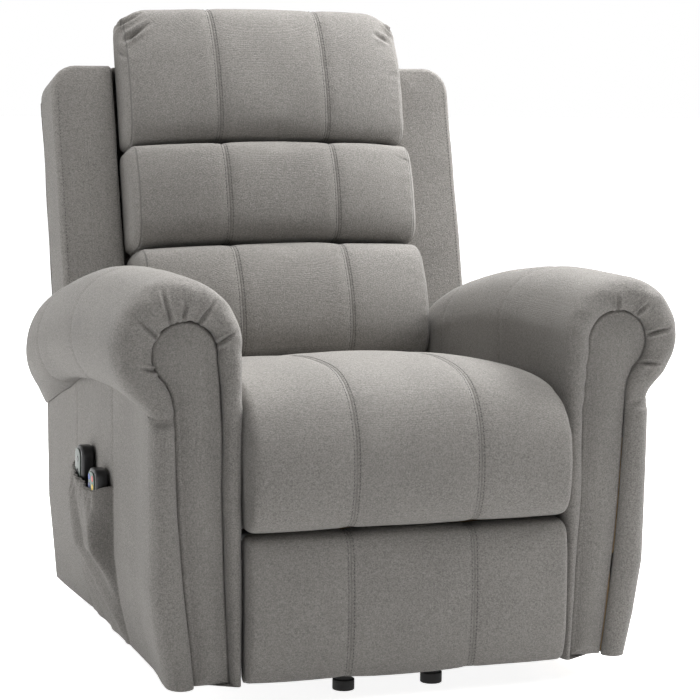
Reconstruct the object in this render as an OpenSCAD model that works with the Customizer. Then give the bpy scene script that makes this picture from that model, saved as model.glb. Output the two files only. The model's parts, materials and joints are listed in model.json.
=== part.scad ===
// Lift recliner chair: upholstered armchair on a steel base with a powered
// lifting link, a reclining back and a folding footrest.
// Millimetres. +Z is up, the sitter faces -Y, the origin is on the floor
// under the middle of the chair. Left and right are the sitter's own.

/* [Overall] */
// Depth from the seat nose to the back cover
overall_d = 976; // [940:1:1040]
// Height of the upholstery's lower edge above the floor
floor_gap = 41; // [36:1:60]

/* [Seat] */
// Clear width between the arms
seat_w = 514; // [490:1:580]
// Height of the seat cushion's crest
seat_crest_z = 507; // [490:1:530]
// Height of the seat cushion's rear edge
seat_rear_z = 455; // [430:1:470]
// Height of the seat cushion's underside
seat_under_z = 268; // [264:1:280]
// Length of the rounded nose over the top
seat_nose = 148; // [110:1:180]

/* [Arms] */
// Radius of the padded arm roll
arm_r = 98; // [88:1:106]
// Height of the roll's centre at the front
arm_z = 542; // [520:1:570]
// Drop of the roll's centre from front to rear
arm_drop = 130; // [90:1:150]
// Depth of the roll's flat underside below its centre
arm_under = 76; // [66:1:84]
// Thickness of an arm from its inner face to its side panel
arm_w = 139; // [130:1:160]
// Thickness of the side panel
panel_t = 12; // [8:1:16]
// How far the side panel stands in from the arm front's border
panel_set = 8; // [0:1:10]
// Thickness of the arm's plywood board
board_t = 18; // [12:1:24]
// Thickness of the padded border on the arm front
border_t = 20; // [14:1:26]
// Radius of the scroll panel's head
scroll_r = 46; // [38:1:52]

/* [Back] */
// Lean of the back from upright
back_angle = 15.4; // [12:0.1:18]
// Height of the back hinge
hinge_z = 330; // [320:1:345]
// How far the wings stand out beyond the seat's sides
wing_out = 113; // [95:1:120]
// Length of the wings above the hinge, along the back
wing_top = 647; // [610:1:680]
// Thickness of the wings
wing_t = 101; // [85:1:115]
// How far the head pillow's ends stand in from the seat's sides
head_in = 1; // [0:1:30]
// Top of the head pillow, along the back
head_top = 735; // [710:1:760]
// Seam between head and middle pillow, along the back
head_seam = 480; // [460:1:500]
// Seam between middle and lumbar pillow, along the back
mid_seam = 302; // [285:1:320]
// Bottom of the lumbar pillow, along the back
lumbar_bottom = 92; // [86:1:110]
// How far the head pillow stands in front of the hinge line
head_front = 70; // [55:1:85]
// How far the middle pillow stands in front of the hinge line
mid_front = 88; // [70:1:100]
// How far the lumbar pillow stands in front of the hinge line
lumbar_front = 121; // [100:1:130]

/* [Footrest] */
// Height of the footrest pad's top edge
foot_top_z = 257; // [240:1:262]
// Thickness of the footrest pad
foot_pad_t = 54; // [40:1:60]
// Thickness of the footrest board
foot_board_t = 15; // [10:1:18]

/* [Base and lift] */
// Diameter of the front feet
foot_d = 34; // [28:1:40]
// Height of the feet
foot_h = 26; // [20:1:30]
// Distance between the front feet
foot_spread = 144; // [100:1:200]
// Section of the base tubes
rail_s = 30; // [25:1:35]
// Distance from the seat's side to the middle of a side rail
rail_in = 87; // [87:1:105]
// Thickness of the steel plates and links
plate_t = 6; // [5:1:7]
// Radius of the lift shaft
shaft_r = 10; // [8:1:12]
// Radius of the pivot pins
pin_r = 7; // [6:1:8]

/* [Actuators] */
// Radius of an actuator's outer tube
tube_r = 17; // [14:1:19]
// Radius of an actuator's rod
rod_r = 10; // [8:1:11]
// Radius of an actuator's motor
motor_r = 24; // [20:1:26]

/* [Pocket and handsets] */
// Width of the side pocket
pocket_w = 256; // [220:1:270]
// Depth of the side pocket away from the panel
pocket_d = 30; // [28:1:34]
// Height of the pocket's mouth
pocket_z = 285; // [270:1:300]
// Length of the lift handset
lift_set_l = 147; // [130:1:160]
// Width of the lift handset
lift_set_w = 44; // [40:1:56]
// Length of the massage handset
massage_set_l = 125; // [112:1:135]
// Width of the massage handset
massage_set_w = 46; // [42:1:56]
// Diameter of the handset keys
key_d = 10; // [7:0.5:12]

/* [Hidden] */
$fn = 48;

// Clearances: between soft faces, around a running pin, beside the wings
fit = 0.3;
run = 0.08;
wing_gap = 6;

// Ends of the chair, and the planes of the arms
y_front = -overall_d / 2;
y_back = overall_d / 2;
inner_x = seat_w / 2;
side_x = inner_x + arm_w;
panel_x = side_x - panel_set;
arm_cx = inner_x + arm_r;
border_y = y_front + 54;
arm_y = border_y + border_t;
arm_tip_y = y_back - 103;
arm_fall_y = y_front + 188;
arm_taper_y = y_back - 338;
arm_taper = 58;

// Lanes across the width, from the seat frame inwards
lane_gap = 3;
chassis_x = inner_x - 12;
foot_lane1 = chassis_x - lane_gap - plate_t;
foot_lane2 = foot_lane1 - 2 - plate_t;
foot_lane3 = foot_lane2 - 2 - plate_t;
rail_x = inner_x - rail_in;
bracket_x = rail_x + rail_s / 2;
arm_lane = bracket_x + plate_t + 9;
control_lane = arm_lane + plate_t + 6;

// The back's own frame: hinge axis, cover thickness, depth of the wings
cover_t = 8;
wing_w = seat_w + 2 * wing_out;
wing_front = 41;
wing_rear = wing_front + wing_t;
hinge_y = y_back - (wing_rear + cover_t + fit) * cos(back_angle) - wing_top * sin(back_angle);
post_x = foot_lane1 - fit;
post_w = 40;
post_y = 60;
post_t = 30;
web_t = 3;
pillow_back = post_y - web_t - 2 * fit;
wing_bottom = 130;

// Pivots as [y, z]: lift link A-C, control link B-D, crank end F, anchor E
lift_a = [y_front + 218, foot_h + rail_s + 26];
lift_c = lift_a + [400, 40];
ctrl_b = lift_a + [-41.2, -1.7];
ctrl_d = lift_a + [255, 32];
crank_l = 90;
crank_f = lift_a + crank_l * [cos(66), sin(66)];
anchor_e = [y_back - 216, foot_h + rail_s + 32];
crank_half = 14;

// Recline drive: anchor on the seat frame, lever end on the back
recl_r = [y_front + 358, 186];
lever_g = [hinge_y + 58, hinge_z - 126];
drive_x = 70;

// Footrest linkage: chassis pivot, elbow, board pivot
foot_p = [y_front + 168, seat_under_z - 46];
foot_e = foot_p + [85, -142];
foot_face_y = y_front + 22;
foot_back_y = foot_face_y + foot_pad_t;
foot_eye_r = 13;
foot_q = [foot_back_y + foot_board_t + foot_eye_r + 3, foot_p[1] - 72];
foot_half = inner_x - 3;

// Seat frame: side bars, the wooden deck on them, and the springs under the cushion
deck_t = 14;
spring_t = 4;
bar_z1 = seat_under_z - fit - spring_t - deck_t;
bar_z0 = bar_z1 - 48;
bar_y0 = y_front + 143;
bar_y1 = hinge_y + 28;
deck_z = bar_z1 + deck_t;
seat_rear_y = hinge_y - 42;
seat_half = inner_x - 2;
rail_tube_r = 11;
tube_front = [recl_r[0], 222];
tube_rear = lift_c + [-30, 30];
bolt_r = 4;
bolt_z = 220;
bolt_ys = [y_front + 300, y_front + 420, hinge_y - 60];

// Base
rail_y0 = y_front + 151;
rail_y1 = y_back - 188;
rear_foot_d = 44;

// Colours
steel = "dimgray";
wood = "burlywood";
cloth = "#8f8c86";
plastic = "#26262a";

// Shapes shared by several pieces
function arc(c, r, a0, a1, n) =
    [for (i = [0:n]) let (a = a0 + (a1 - a0) * i / n) [c[0] + r[0] * cos(a), c[1] + r[1] * sin(a)]];
function bulge(v, p) = sign(v) * pow(abs(v), 2 / p);
function pad_profile(y0, y1, z0, z1, p, n = 24) =
    [for (i = [0:n - 1]) let (a = 360 * i / n)
        [(y0 + y1) / 2 + (y1 - y0) / 2 * bulge(cos(a), p), (z0 + z1) / 2 + (z1 - z0) / 2 * bulge(sin(a), p)]];
function mean(v, k) = ([for (p = v) 1] * [for (p = v) p[k]]) / len(v);

module both() { for (s = [0, 1]) mirror([s, 0, 0]) children(); }
module plate(x0, t) { translate([x0, 0, 0]) rotate([90, 0, 90]) linear_extrude(t) children(); }
module front_sheet(y0, t) { translate([0, y0 + t, 0]) rotate([90, 0, 0]) linear_extrude(t) children(); }
module pin(x0, x1, p, r) { translate([x0, p[0], p[1]]) rotate([0, 90, 0]) cylinder(r = r, h = x1 - x0); }
module hole(p, r) { translate(p) circle(r); }
// A link's outline, with eyes a little wider than its web, and a slot with round ends
waist = 1;
module bar(p, q, w) {
    translate(p) rotate(atan2(q[1] - p[1], q[0] - p[0])) translate([0, -w]) square([norm(q - p), 2 * w]);
}
module strap(p, q, w) {
    for (e = [p, q]) hole(e, w);
    bar(p, q, w - waist);
}
module slot(p, q, w) {
    for (e = [p, q]) hole(e, w - waist);
    bar(p, q, w);
}
module block(x0, x1, y0, y1, z0, z1) { translate([x0, y0, z0]) cube([x1 - x0, y1 - y0, z1 - z0]); }
module round_sheet(w, h, r) {
    translate([-w / 2, r]) square([w, h - 2 * r]);
    translate([-w / 2 + r, 0]) square([w - 2 * r, h]);
    for (x = [-1, 1], y = [r, h - r]) translate([x * (w / 2 - r), y]) circle(r);
}
// Puts a shape in the back's frame: origin on the hinge axis, Z along the back
module at_back() { translate([0, hinge_y, hinge_z]) rotate([-back_angle, 0, 0]) children(); }
// Puts Z along the line from p to q, in the plane x
module along(p, q, x) {
    translate([x, p[0], p[1]]) rotate([atan2(p[0] - q[0], q[1] - p[1]), 0, 0]) children();
}

// A solid through a row of closed sections with equal numbers of points
module loft(s) {
    n = len(s[0]);
    m = len(s);
    polyhedron(
        points = [for (v = s) each v],
        faces = concat(
            [[for (i = [0:n - 1]) i]],
            [[for (i = [n - 1:-1:0]) (m - 1) * n + i]],
            [for (k = [0:m - 2], i = [0:n - 1])
                [k * n + i, (k + 1) * n + i, (k + 1) * n + (i + 1) % n, k * n + (i + 1) % n]]));
}
// A cushion across the width whose ends draw in towards the profile's middle
module cushion(profile, half, edge = 34) {
    c = [mean(profile, 0), mean(profile, 1)];
    ends = [[half, 0.86], [half - 0.3 * edge, 0.95], [half - edge, 1]];
    rows = concat([for (e = ends) [-e[0], e[1]]], [for (i = [2:-1:0]) [ends[i][0], ends[i][1]]]);
    loft([for (e = rows) [for (p = profile)
        [e[0], c[0] + (p[0] - c[0]) * e[1], c[1] + (p[1] - c[1]) * e[1]]]]);
}

// Line of the arm roll from front to rear
function arm_cz(y) = arm_z - arm_drop * pow(max(0, (y - arm_fall_y) / (arm_tip_y - arm_fall_y)), 1.9);
function arm_cut(y) = arm_taper * pow(max(0, (y - arm_taper_y) / (arm_tip_y - arm_taper_y)), 2);
function arm_scale(y) = 1 - arm_cut(y) / arm_r;
function roll_bottom(y) = arm_cz(y) - arm_under * arm_scale(y);
function roll_section(y) =
    let (r = arm_r * arm_scale(y), end = -asin(arm_under / arm_r), z = arm_cz(y))
    [for (p = concat(arc([arm_cx, z], [r, r], 180, end, 20), [[arm_cx - r, roll_bottom(y)]]))
        [p[0], y, p[1]]];
arm_steps = 16;
function arm_rows(y0, y1) = [for (i = [0:arm_steps]) y0 + (y1 - y0) * i / arm_steps];
function under_roll(y0, y1, drop) = [for (y = arm_rows(y0, y1)) [y, roll_bottom(y) - drop]];
pad_y1 = hinge_y + 66;
panel_foot_y = y_back - 150;

// Front outline of an arm, and the keyhole scroll panel within it
panel_turn_z = 190;
panel_low_z = 108;
panel_in = 28;
module arm_outline() {
    z = arm_cz(arm_y);
    end = -asin(arm_under / arm_r);
    polygon(concat(
        [[inner_x, floor_gap], [inner_x, z]],
        arc([arm_cx, z], [arm_r, arm_r], 178, end, 20),
        [[side_x, z - arm_under - 28], [side_x, panel_turn_z], [side_x - 12, panel_low_z],
            [side_x - panel_in, floor_gap]]));
}
neck_in = inner_x + 32;
neck_out = side_x - 39;
neck_z0 = 300;
neck_z1 = 430;
scroll_c = [(neck_in + neck_out) / 2 + 20, arm_z - 9];
module scroll_outline(grow) {
    translate(scroll_c) circle(scroll_r + grow);
    polygon([[neck_in - 14 - grow, floor_gap - 2 * grow], [neck_out - 28 + grow, floor_gap - 2 * grow],
        [neck_out + grow, neck_z0], [neck_out + grow, neck_z1],
        [scroll_c[0] + scroll_r * cos(30) + grow, scroll_c[1] - scroll_r * sin(30)],
        [scroll_c[0] - scroll_r * cos(10) - grow, scroll_c[1] - scroll_r * sin(10)],
        [neck_in - grow, neck_z1], [neck_in - grow, neck_z0]]);
}
module wing_room() {
    at_back() block(-wing_w / 2 - wing_gap, wing_w / 2 + wing_gap,
        wing_front - wing_gap, wing_front + 500, -200, wing_top + 300);
}

// Base
module base_side_rails() {
    color(steel) both() block(rail_x - rail_s / 2, bracket_x, rail_y0, rail_y1, foot_h, foot_h + rail_s);
}
module base_cross_tubes() {
    color(steel) {
        block(-bracket_x, bracket_x, rail_y0 - rail_s, rail_y0, foot_h, foot_h + rail_s);
        block(-rail_x + rail_s / 2, rail_x - rail_s / 2, anchor_e[0] - 10, anchor_e[0] + rail_s - 10,
            foot_h, foot_h + rail_s);
    }
}
module base_feet() {
    color(plastic) both() {
        translate([foot_spread / 2, rail_y0 - rail_s / 2, 0]) cylinder(d = foot_d, h = foot_h);
        translate([rail_x, rail_y1 - rear_foot_d / 2, 0]) cylinder(d = rear_foot_d, h = foot_h);
    }
}
module lift_brackets() {
    stud_end = control_lane + plate_t + 1;
    bracket_r = 18;
    color(steel) both() {
        plate(bracket_x, plate_t) difference() {
            union() {
                strap(lift_a, ctrl_b, bracket_r);
                translate([ctrl_b[0] - bracket_r + waist, foot_h + 2])
                    square([lift_a[0] - ctrl_b[0] + 2 * (bracket_r - waist), lift_a[1] - foot_h - 2]);
            }
            hole(lift_a, shaft_r + run);
        }
        pin(bracket_x + plate_t, stud_end, ctrl_b, pin_r);
        pin(stud_end, stud_end + 3, ctrl_b, pin_r + 4);
    }
}
module lift_anchor() {
    color(steel) {
        for (s = [-1, 1]) plate(s * 25 - 3, plate_t)
            strap([anchor_e[0], foot_h + rail_s + 13], anchor_e, 13);
        pin(-28, 28, anchor_e, pin_r);
    }
}
module power_supply() {
    x0 = 62;
    length = 78;
    z0 = foot_h + rail_s;
    color(plastic) difference() {
        block(x0, x0 + length, anchor_e[0] - 42, anchor_e[0] + 16, z0, z0 + 40);
        translate([x0 + 20, anchor_e[0] + 6, z0 + 20]) rotate([-90, 0, 0]) cylinder(r = 4, h = 20);
    }
}

// Lift linkage
module crank_plate() {
    u = [cos(66), sin(66)];
    difference() {
        union() {
            strap(lift_a, crank_f + 2 * u, 17);
            hole(lift_a, 22);
        }
        slot(crank_f - 9.5 * u, crank_f + 1.5 * u, pin_r + 1.6);
    }
}
module lift_shaft() {
    color(steel) {
        pin(-arm_lane - plate_t - 2, arm_lane + plate_t + 2, lift_a, shaft_r);
        both() plate(crank_half, plate_t) crank_plate();
    }
}
module lift_arms() {
    color(steel) both() plate(arm_lane, plate_t) difference() {
        strap(lift_a, lift_c, 18);
        hole(lift_a, shaft_r + run);
        hole(lift_c, pin_r + run);
    }
}
module control_links() {
    color(steel) both() plate(control_lane, plate_t) difference() {
        strap(ctrl_b, ctrl_d, 15);
        hole(ctrl_b, pin_r + run);
        hole(ctrl_d, pin_r + 1.5);
    }
}

// A linear actuator: eye, gear case and motor, outer tube; then its rod
gear_l = 70;
module actuator(p, q, x, tube_end, side) {
    color(plastic) along(p, q, x) difference() {
        union() {
            translate([-20, 0, 0]) rotate([0, 90, 0]) cylinder(r = 17, h = 40);
            block(-20, 20, -17, 17, 0, gear_l);
            block(side > 0 ? 0 : -side_motor - motor_r, side > 0 ? side_motor + motor_r : 0,
                -17, 17, 24, gear_l);
            translate([side * side_motor, 0, gear_l - 20]) cylinder(r = motor_r, h = 120);
            translate([0, 0, gear_l - 1]) cylinder(r = tube_r, h = tube_end - gear_l + 1);
        }
        translate([-60, 0, 0]) rotate([0, 90, 0]) cylinder(r = pin_r + run, h = 120);
        translate([0, 0, gear_l - 4]) cylinder(r = rod_r + run, h = tube_end);
    }
}
side_motor = tube_r + motor_r + 5;
module actuator_rod(p, q, x, start, pin_half) {
    l = norm(q - p);
    color("silver") along(p, q, x) {
        translate([0, 0, start]) cylinder(r = rod_r, h = l - start);
        translate([-11, 0, l]) rotate([0, 90, 0]) cylinder(r = 14, h = 22);
        translate([-pin_half, 0, l]) rotate([0, 90, 0]) cylinder(r = pin_r, h = 2 * pin_half);
    }
}
lift_tube_end = norm(crank_f - anchor_e) - 90;
recl_stroke = 108;
recl_tube_end = norm(lever_g - recl_r) - recl_stroke - 22;
module lift_actuator() { actuator(anchor_e, crank_f, 0, lift_tube_end, -1); }
module lift_rod() { actuator_rod(anchor_e, crank_f, 0, lift_tube_end - 220, crank_half + plate_t + 2); }
module recline_actuator() { actuator(recl_r, lever_g, drive_x, recl_tube_end, 1); }
module recline_rod() {
    actuator_rod(recl_r, lever_g, drive_x, gear_l + recl_stroke + 4, crank_half + plate_t + 2);
}

// Seat frame that rises with the lift
module chassis_side_plates() {
    color(steel) both() {
        plate(chassis_x, plate_t) difference() {
            union() {
                translate([bar_y0, bar_z0]) square([bar_y1 - bar_y0, bar_z1 - bar_z0]);
                strap([lift_c[0], bar_z0 + 10], lift_c, 20);
                strap([ctrl_d[0], bar_z0 + 10], ctrl_d, 20);
                strap([tube_rear[0], bar_z0 + 10], tube_rear, 16);
                strap([hinge_y, bar_z0 + 22], [hinge_y, hinge_z], 20);
            }
            hole([hinge_y, hinge_z], pin_r + run);
            for (y = bolt_ys) hole([y, bolt_z], bolt_r + run);
        }
        pin(arm_lane - 2, chassis_x, lift_c, pin_r);
        pin(arm_lane - 5, arm_lane - 2, lift_c, pin_r + 5);
        pin(control_lane - 2, chassis_x, ctrl_d, pin_r);
        pin(foot_lane1 - 0.5, chassis_x, foot_p, pin_r);
        pin(foot_lane1 - 2, foot_lane1 - 0.5, foot_p, pin_r + 4);
    }
}
module chassis_cross_tubes() {
    color(steel) for (p = [tube_front, tube_rear]) pin(-chassis_x, chassis_x, p, rail_tube_r);
}
module recline_anchor() {
    color(steel) {
        for (s = [-1, 1]) plate(drive_x + s * 24 - 3, plate_t) difference() {
            strap(recl_r, tube_front, 16);
            hole(tube_front, rail_tube_r + run);
        }
        pin(drive_x - 27, drive_x + 27, recl_r, pin_r);
    }
}
module seat_front_board() {
    color(wood) {
        block(-chassis_x - plate_t, chassis_x + plate_t, foot_p[0] + 24, foot_p[0] + 62, bar_z1, deck_z);
        block(-foot_lane3 + 5, foot_lane3 - 5, foot_back_y + 24, foot_p[0] + 24, bar_z1, deck_z);
    }
}
module seat_rear_rail() {
    color(wood) block(-chassis_x - plate_t, chassis_x + plate_t, seat_rear_y - 26, seat_rear_y,
        bar_z1, deck_z);
}
spring_n = 10;
spring_w = 34;
spring_gap = 80;
module spring_path(y0, y1) {
    step = (y1 - y0) / (spring_n - 1);
    for (i = [0:spring_n - 1]) translate([-spring_w / 2, y0 + step * i - spring_t / 2])
        square([spring_w, spring_t]);
    for (i = [0:spring_n - 2]) translate([(i % 2 == 0 ? 1 : -1) * spring_w / 2, y0 + step * (i + 0.5)])
        difference() {
            circle(step / 2 + spring_t / 2);
            circle(step / 2 - spring_t / 2);
            translate([i % 2 == 0 ? -step : 0, -step]) square([step, 2 * step]);
        }
}
module seat_springs() {
    color("silver") for (i = [-2:2]) translate([i * spring_gap, 0, deck_z])
        linear_extrude(spring_t) spring_path(foot_p[0] + 44, seat_rear_y - 12);
}
module seat_cushion() {
    y0 = y_front;
    zc = 350;
    top_y = y0 + seat_nose;
    low = 48;
    tuck = 42;
    profile = concat(
        arc([y0 + low, zc], [low, zc - seat_under_z], 180, 270, 7),
        [[seat_rear_y, seat_under_z], [seat_rear_y, seat_rear_z - tuck], [seat_rear_y - tuck, seat_rear_z]],
        [for (t = [0.7, 0.4]) [top_y + (seat_rear_y - tuck - top_y) * t,
            seat_rear_z + (seat_crest_z - seat_rear_z) * (1 - t * t)]],
        arc([top_y, zc], [seat_nose, seat_crest_z - zc], 90, 172, 9));
    color(cloth) cushion(profile, seat_half);
}
module massage_control_box() {
    color(plastic) block(-200, -110, seat_rear_y - 46, seat_rear_y, bar_z1 - 32, bar_z1);
}
module arm_bolts() {
    x1 = chassis_x + plate_t + 40;
    color("silver") both() for (y = bolt_ys) {
        pin(chassis_x - 4, chassis_x, [y, bolt_z], bolt_r + 3);
        pin(chassis_x, x1, [y, bolt_z], bolt_r);
    }
}

// Arms
board_x = inner_x + 55;
post_y1 = arm_y + 33;
module arm_frames() {
    x0 = chassis_x + plate_t;
    color(wood) both() difference() {
        union() {
            plate(board_x, board_t) polygon(concat(
                [[arm_y + fit, floor_gap + 4]],
                [[pad_y1, floor_gap + 4]],
                [for (y = arm_rows(pad_y1, arm_y + fit)) [y, roll_bottom(y) - fit]]));
            block(x0, board_x + 1, bolt_ys[0] - 40, bolt_ys[2] + 30, bolt_z - 20, bolt_z + 20);
            block(board_x, board_x + 32, arm_y + fit, post_y1, floor_gap + 4, panel_turn_z + 10);
            for (y = [arm_y + fit, pad_y1 - 33]) block(board_x, panel_x - panel_t - fit, y, y + 33 - fit,
                panel_turn_z + 10, roll_bottom(pad_y1) - 10);
        }
        for (y = bolt_ys) pin(x0 - 1, x0 + 44, [y, bolt_z], bolt_r + run);
    }
}
module arm_roll() {
    color(cloth) difference() {
        loft([for (y = arm_rows(arm_y + fit, arm_tip_y)) roll_section(y)]);
        wing_room();
    }
}
module arm_roll_left() { arm_roll(); }
module arm_roll_right() { mirror([1, 0, 0]) arm_roll(); }
module arm_inner_pads() {
    batten = bolt_z + 20 + fit;
    color(cloth) both() plate(inner_x, board_x - inner_x - fit) polygon(concat(
        [[arm_y + fit, floor_gap], [bolt_ys[0] - 60, floor_gap], [bolt_ys[0] - 60, batten],
            [pad_y1, batten]],
        [for (y = arm_rows(pad_y1, arm_y + fit)) [y, roll_bottom(y) - fit]]));
}
module arm_panel() {
    x = panel_x;
    t = panel_t;
    color(cloth) intersection() {
        plate(x - 80, 100) polygon(concat(
            [[arm_y + fit, floor_gap], [panel_foot_y, floor_gap]],
            [for (y = arm_rows(arm_tip_y, arm_y + fit)) [y, roll_bottom(y) - fit]]));
        front_sheet(arm_y + fit, overall_d) polygon([
            [x, arm_z], [x, panel_turn_z], [x - 12, panel_low_z], [x - panel_in, floor_gap],
            [x - panel_in - t, floor_gap], [x - 12 - t, panel_low_z], [x - t, panel_turn_z], [x - t, arm_z]]);
    }
}
module arm_panel_left() { arm_panel(); }
module arm_panel_right() { mirror([1, 0, 0]) arm_panel(); }
module arm_front_borders() {
    color(cloth) both() front_sheet(border_y, border_t) difference() {
        arm_outline();
        scroll_outline(fit);
    }
}
scroll_set = 6;
module arm_scroll_panels() {
    color(cloth) both() front_sheet(border_y + scroll_set, border_t - scroll_set) scroll_outline(0);
}

// Pocket on the right arm, with the two handsets standing in it
pocket_y = y_front + 466;
pocket_wall = 3;
pocket_floor = panel_turn_z;
set_x = -panel_x - 3;
module remote_pocket() {
    y0 = pocket_y - pocket_w / 2;
    color(cloth) difference() {
        block(-panel_x - pocket_d - pocket_wall, -panel_x, y0, y0 + pocket_w, pocket_floor, pocket_z);
        block(-panel_x - pocket_d, -panel_x + 1, y0 + pocket_wall, y0 + pocket_w - pocket_wall,
            pocket_floor + pocket_wall, pocket_z + 1);
    }
}
set_z = pocket_floor + pocket_wall + fit;
lift_set_t = 22;
massage_set_t = 21;
face_t = 2;
lift_set_y = pocket_y - 8;
massage_set_y = pocket_y - pocket_w / 2 + pocket_wall + massage_set_w / 2 + 2;
key_r = key_d / 2;
key_room = 0.4;
key_proud = 0.8;
key_deep = 4;
lift_key_z = [set_z + lift_set_l - 22, set_z + lift_set_l - 42];
massage_key_z = set_z + massage_set_l - 14;
massage_keys = [[-11, 0], [11, 0], [-11, -13.5], [11, -13.5]];
// A handset case facing -X, with a well under each key, and the face plate on it
module set_case(y, w, l, t, keys) {
    difference() {
        translate([set_x - t, y, set_z]) rotate([90, 0, 90]) linear_extrude(t) round_sheet(w, l, 9);
        for (k = keys) translate([set_x - t - 1, k[0], k[1]]) rotate([0, 90, 0])
            cylinder(r = key_r + key_room, h = key_deep + 1);
    }
}
module set_face(y, w, l, t, keys) {
    difference() {
        translate([set_x - t - face_t, y, set_z + 5]) rotate([90, 0, 90]) linear_extrude(face_t)
            round_sheet(w - 10, l - 10, 6);
        for (k = keys) translate([set_x - t - face_t - 1, k[0], k[1]]) rotate([0, 90, 0])
            cylinder(r = key_r + key_room, h = face_t + 2);
    }
}
// A key stands clear of its well's floor by a little more than its travel
key_lift = 1.6;
module set_key(t, k) {
    translate([set_x - t - face_t - key_proud, k[0], k[1]]) rotate([0, 90, 0])
        cylinder(r = key_r, h = face_t + key_proud + key_deep - key_lift);
}
lift_keys = [for (z = lift_key_z) [lift_set_y, z]];
massage_spots = [for (k = massage_keys) [massage_set_y + k[0], massage_key_z + k[1]]];
module lift_handset_case() {
    color(plastic) set_case(lift_set_y, lift_set_w, lift_set_l, lift_set_t, lift_keys);
}
module lift_handset_face() {
    color("#b9bfb4") set_face(lift_set_y, lift_set_w, lift_set_l, lift_set_t, lift_keys);
}
module lift_up_button() { color(plastic) set_key(lift_set_t, lift_keys[0]); }
module lift_down_button() { color(plastic) set_key(lift_set_t, lift_keys[1]); }
module massage_handset_case() {
    color(plastic) set_case(massage_set_y, massage_set_w, massage_set_l, massage_set_t, massage_spots);
}
module massage_handset_face() {
    color("#9fb08e") set_face(massage_set_y, massage_set_w, massage_set_l, massage_set_t, massage_spots);
}
module massage_keys_red() { color("firebrick") set_key(massage_set_t, massage_spots[0]); }
module massage_keys_yellow() { color("gold") set_key(massage_set_t, massage_spots[2]); }
module massage_keys_blue() { color("slateblue") set_key(massage_set_t, massage_spots[1]); }
module massage_keys_navy() { color("navy") set_key(massage_set_t, massage_spots[3]); }

// Back, drawn in its own frame
rail_h = 30;
rail_zs = [25, mid_seam + 4, wing_top - rail_h - 12];
module back_posts() {
    color(wood) at_back() both() block(post_x - post_w, post_x, post_y, post_y + post_t,
        rail_zs[0] - 5, wing_top - top_t - fit);
}
module back_rails() {
    color(wood) at_back() for (z = rail_zs)
        block(-post_x + post_w, post_x - post_w, post_y, post_y + post_t, z, z + rail_h);
}
module back_hinge_plates() {
    color(steel) at_back() both() plate(post_x + fit, plate_t) difference() {
        union() {
            strap([0, 0], [post_y + 15, 55], 17);
            strap([post_y + 15, 55], [post_y + 15, 120], 14);
        }
        circle(pin_r + run);
    }
}
module back_hinge_pins() {
    color("silver") at_back() both() {
        pin(post_x - 5, chassis_x + plate_t + 2, [0, 0], pin_r);
        pin(post_x - 8, post_x - 5, [0, 0], pin_r + 5);
    }
}
lever_y = (lever_g[0] - hinge_y) * cos(back_angle) - (lever_g[1] - hinge_z) * sin(back_angle);
lever_z = (lever_g[0] - hinge_y) * sin(back_angle) + (lever_g[1] - hinge_z) * cos(back_angle);
module recline_lever() {
    g = [lever_y, lever_z];
    u = g / norm(g);
    color(steel) at_back() for (s = [-1, 1])
        plate(drive_x + s * (crank_half + plate_t / 2) - plate_t / 2, plate_t) difference() {
            strap([post_y + post_t / 2, rail_zs[0] - 16], g, 16);
            slot(g - 12.5 * u, g + 2 * u, pin_r + 1.8);
        }
}
web_h = 50;
web_zs = [130, (lumbar_bottom + mid_seam) / 2, 270, (mid_seam + head_seam) / 2, 470,
    (head_seam + head_top) / 2];
module back_webbing() {
    color("#3a3a3a") at_back() for (z = web_zs)
        block(-post_x, post_x, post_y - web_t - fit, post_y - fit, z - web_h / 2, z + web_h / 2);
}
module massage_motors() {
    color(plastic) at_back() for (x = [-90, 90], z = [web_zs[1], web_zs[3]])
        translate([x, post_y, z]) rotate([-90, 0, 0]) cylinder(r = 23, h = 24);
}
wing_round = 45;
pillow_x = inner_x + 2;
top_t = 10;
cover_bottom = 20;
module wing_sheet(x0, z0) {
    translate([x0, z0]) square([wing_w / 2 - x0, wing_top - wing_round - z0]);
    translate([x0, z0]) square([wing_w / 2 - x0 - wing_round, wing_top - z0]);
    translate([wing_w / 2 - wing_round, wing_top - wing_round]) circle(wing_round);
}
module back_wings() {
    color(cloth) at_back() both() {
        front_sheet(wing_front, wing_t) wing_sheet(pillow_x, wing_bottom);
        block(post_x + fit, pillow_x + 1, post_y, wing_rear, 180, wing_top - top_t - fit);
    }
}
module rear_cover() {
    color(cloth) at_back() {
        front_sheet(wing_rear + fit, cover_t) both() wing_sheet(0, cover_bottom);
        block(-pillow_x + fit, pillow_x - fit, post_y, wing_rear + fit + 1, wing_top - top_t, wing_top);
    }
}
skirt_top = 246;
skirt_t = 8;
module rear_skirt() {
    x = panel_x - panel_t - fit;
    color(cloth) front_sheet(panel_foot_y - skirt_t - 2, skirt_t) both()
        polygon([[0, floor_gap], [x - panel_in, floor_gap], [x - 12, panel_low_z],
            [x, panel_turn_z], [x, skirt_top], [0, skirt_top]]);
}
module back_pillow(front, z0, z1, half) {
    color(cloth) at_back() cushion(pad_profile(-front, pillow_back, z0, z1 - fit, 3), half);
}
module head_pillow() { back_pillow(head_front, head_seam, head_top, inner_x - head_in); }
module mid_pillow() { back_pillow(mid_front, mid_seam, head_seam, inner_x - 1); }
module lumbar_pillow() { back_pillow(lumbar_front, lumbar_bottom, mid_seam, inner_x - 3); }

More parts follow.
